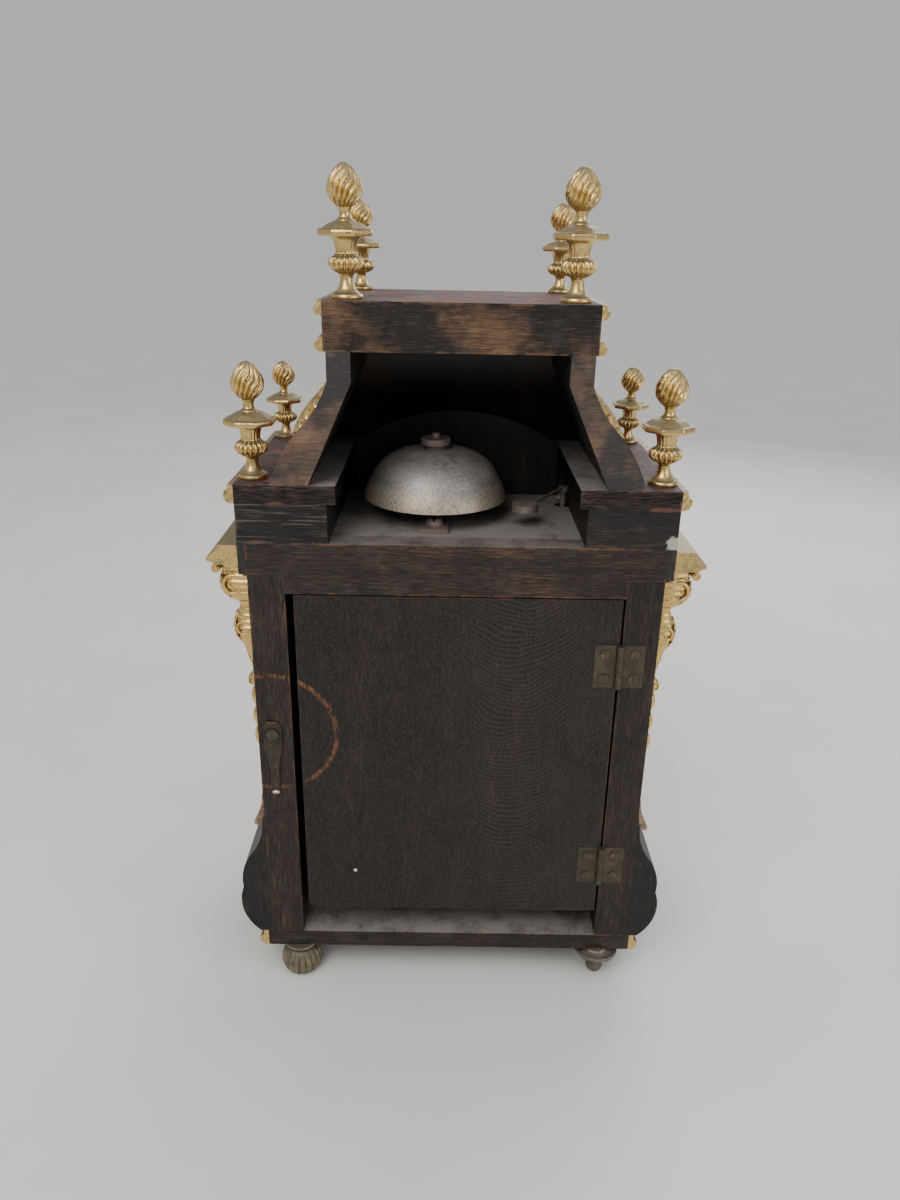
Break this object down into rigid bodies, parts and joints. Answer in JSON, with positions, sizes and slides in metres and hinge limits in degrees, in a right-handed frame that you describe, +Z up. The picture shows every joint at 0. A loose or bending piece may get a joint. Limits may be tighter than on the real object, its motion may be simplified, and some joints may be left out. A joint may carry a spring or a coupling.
{
  "type": "religieuse clock",
  "caption": "Ebonised wooden bracket clock with an open bell roof, gilt flame finials, scroll consoles, hinged back door with turn latch, glazed front door and wheel train.",
  "frame": {"origin": "middle of the footprint, on the surface the feet stand on", "axes": "+Z up; +Y towards the back door, the side that the picture shows; +X to the left of a viewer who looks at the back"},
  "size_m": [0.3092, 0.1706, 0.5515],
  "materials": {
    "stained_oak": "dark stained, worn",
    "door_oak": "near-black, waxed",
    "ebonised_wood": "ebonised, worn",
    "gilt_brass": "gilt, aged",
    "old_brass": "patinated",
    "iron": "dark, filed",
    "bell_metal": "grey, speckled",
    "glass": "clear",
    "dial_ground": "matt black ground"
  },
  "bodies": {
    "case": {"hinge_stile": "stained_oak", "latch_stile": "stained_oak", "back_top_rail": "stained_oak", "base_board": "stained_oak", "top_board": "stained_oak", "case_sides": "ebonised_wood", "bombe_blocks": "ebonised_wood", "frieze_blocks": "ebonised_wood", "ledge_boards": "ebonised_wood", "roof_panels": "ebonised_wood", "arch_board": "ebonised_wood", "crown": "ebonised_wood", "dial_battens": "ebonised_wood", "roof_leaves": "gilt_brass", "rear_finials": "gilt_brass", "front_finials": "gilt_brass", "bun_feet": "gilt_brass", "turned_foot": "gilt_brass", "cornice_slabs": "gilt_brass", "side_consoles": "gilt_brass", "gilt_mouldings": "gilt_brass", "hinge_case_leaves": "old_brass", "hinge_pins": "old_brass", "case_screws": "iron", "bell": "bell_metal", "bell_stand": "iron", "bell_fixings": "iron", "hammer_stop": "iron", "dial_plate": "dial_ground", "chapter_ring": "gilt_brass", "front_plate": "old_brass", "back_plate": "old_brass", "plate_pillars": "old_brass", "movement_cocks": "old_brass"},
    "back_door": {"back_door": "door_oak", "hinge_door_leaves": "old_brass", "hinge_door_screws": "iron"},
    "latch": {"turn_latch": "old_brass"},
    "front_door": {"front_door": "ebonised_wood", "door_glass": "glass", "glass_bezel": "gilt_brass", "door_pivot_pins": "iron"},
    "hammer": {"hammer_arbor": "iron", "hammer_head": "iron"},
    "minute_arbor": {"centre_wheel": "old_brass", "minute_hand": "gilt_brass"},
    "hour_pipe": {"hour_wheel": "old_brass", "hour_hand": "gilt_brass"},
    "minute_wheel": {"minute_wheel": "old_brass"},
    "going_barrel": {"going_barrel": "old_brass"},
    "third_wheel": {"third_wheel": "old_brass"},
    "escape_wheel": {"escape_wheel": "old_brass"},
    "strike_barrel": {"strike_barrel": "old_brass"},
    "pin_wheel": {"pin_wheel": "old_brass"},
    "fly": {"fly": "old_brass"},
    "going_winding": {"going_winding_arbor": "iron"},
    "strike_winding": {"strike_winding_arbor": "iron"},
    "pallets": {"pallet_anchor": "iron"},
    "pendulum": {"pendulum_rod": "iron", "pendulum_bob": "old_brass"}
  },
  "joints": [
    {"name": "back_door_hinge", "type": "hinge", "parent": "case", "child": "back_door", "pos_m": [-0.1062, 0.0781, 0.2595], "axis": [0, 0, 1], "range_deg": [0, 165]},
    {"name": "latch_turn", "type": "hinge", "parent": "case", "child": "latch", "pos_m": [0.1202, 0.0767, 0.2063], "axis": [0, 1, 0], "range_deg": [0, 180]},
    {"name": "front_door_hinge", "type": "hinge", "parent": "case", "child": "front_door", "pos_m": [-0.122, -0.0699, 0.039], "axis": [0, 0, -1], "range_deg": [0, 110]},
    {"name": "hammer_swing", "type": "hinge", "parent": "case", "child": "hammer", "pos_m": [-0.0754, -0.0189, 0.3395], "axis": [0, 0, -1], "range_deg": [-15, 7.52]},
    {"name": "minute_turn", "type": "hinge", "parent": "case", "child": "minute_arbor", "pos_m": [0, -0.0228, 0.215], "axis": [0, 1, 0], "continuous": true},
    {"name": "hour_turn", "type": "hinge", "parent": "case", "child": "hour_pipe", "pos_m": [0, -0.0228, 0.215], "axis": [0, 1, 0], "continuous": true},
    {"name": "minute_wheel_turn", "type": "hinge", "parent": "case", "child": "minute_wheel", "pos_m": [0.02255, -0.0228, 0.22321], "axis": [0, 1, 0], "continuous": true},
    {"name": "going_barrel_turn", "type": "hinge", "parent": "case", "child": "going_barrel", "pos_m": [0.03997, -0.0228, 0.19636], "axis": [0, 1, 0], "continuous": true},
    {"name": "third_wheel_turn", "type": "hinge", "parent": "case", "child": "third_wheel", "pos_m": [-0.01005, -0.0228, 0.24263], "axis": [0, 1, 0], "continuous": true},
    {"name": "escape_wheel_turn", "type": "hinge", "parent": "case", "child": "escape_wheel", "pos_m": [0, -0.0228, 0.26376], "axis": [0, 1, 0], "continuous": true},
    {"name": "strike_barrel_turn", "type": "hinge", "parent": "case", "child": "strike_barrel", "pos_m": [-0.03997, -0.0228, 0.19636], "axis": [0, 1, 0], "continuous": true},
    {"name": "pin_wheel_turn", "type": "hinge", "parent": "case", "child": "pin_wheel", "pos_m": [-0.06067, -0.0228, 0.2353], "axis": [0, 1, 0], "continuous": true},
    {"name": "fly_turn", "type": "hinge", "parent": "case", "child": "fly", "pos_m": [-0.0558, -0.0228, 0.26295], "axis": [0, 1, 0], "continuous": true},
    {"name": "going_winding_turn", "type": "hinge", "parent": "case", "child": "going_winding", "pos_m": [0.03997, -0.0228, 0.19636], "axis": [0, 1, 0], "continuous": true},
    {"name": "strike_winding_turn", "type": "hinge", "parent": "case", "child": "strike_winding", "pos_m": [-0.03997, -0.0228, 0.19636], "axis": [0, 1, 0], "continuous": true},
    {"name": "pendulum_swing", "type": "hinge", "parent": "case", "child": "pendulum", "pos_m": [0, 0.0397, 0.28576], "axis": [0, 1, 0], "range_deg": [-3.5, 3.5]},
    {"name": "pallet_rock", "type": "hinge", "parent": "case", "child": "pallets", "pos_m": [0, -0.0228, 0.28576], "axis": [0, 1, 0], "range_deg": [-3.5, 3.5]}
  ],
  "couplings": [
    {"joint": "hour_turn", "follows": "minute_turn", "ratio": 0.083333},
    {"joint": "minute_wheel_turn", "follows": "minute_turn", "ratio": -0.33333},
    {"joint": "going_barrel_turn", "follows": "minute_turn", "ratio": -0.16667},
    {"joint": "third_wheel_turn", "follows": "minute_turn", "ratio": -6},
    {"joint": "escape_wheel_turn", "follows": "minute_turn", "ratio": 30},
    {"joint": "pin_wheel_turn", "follows": "strike_barrel_turn", "ratio": -6},
    {"joint": "fly_turn", "follows": "strike_barrel_turn", "ratio": 30},
    {"joint": "pallet_rock", "follows": "pendulum_swing", "ratio": 1}
  ]
}
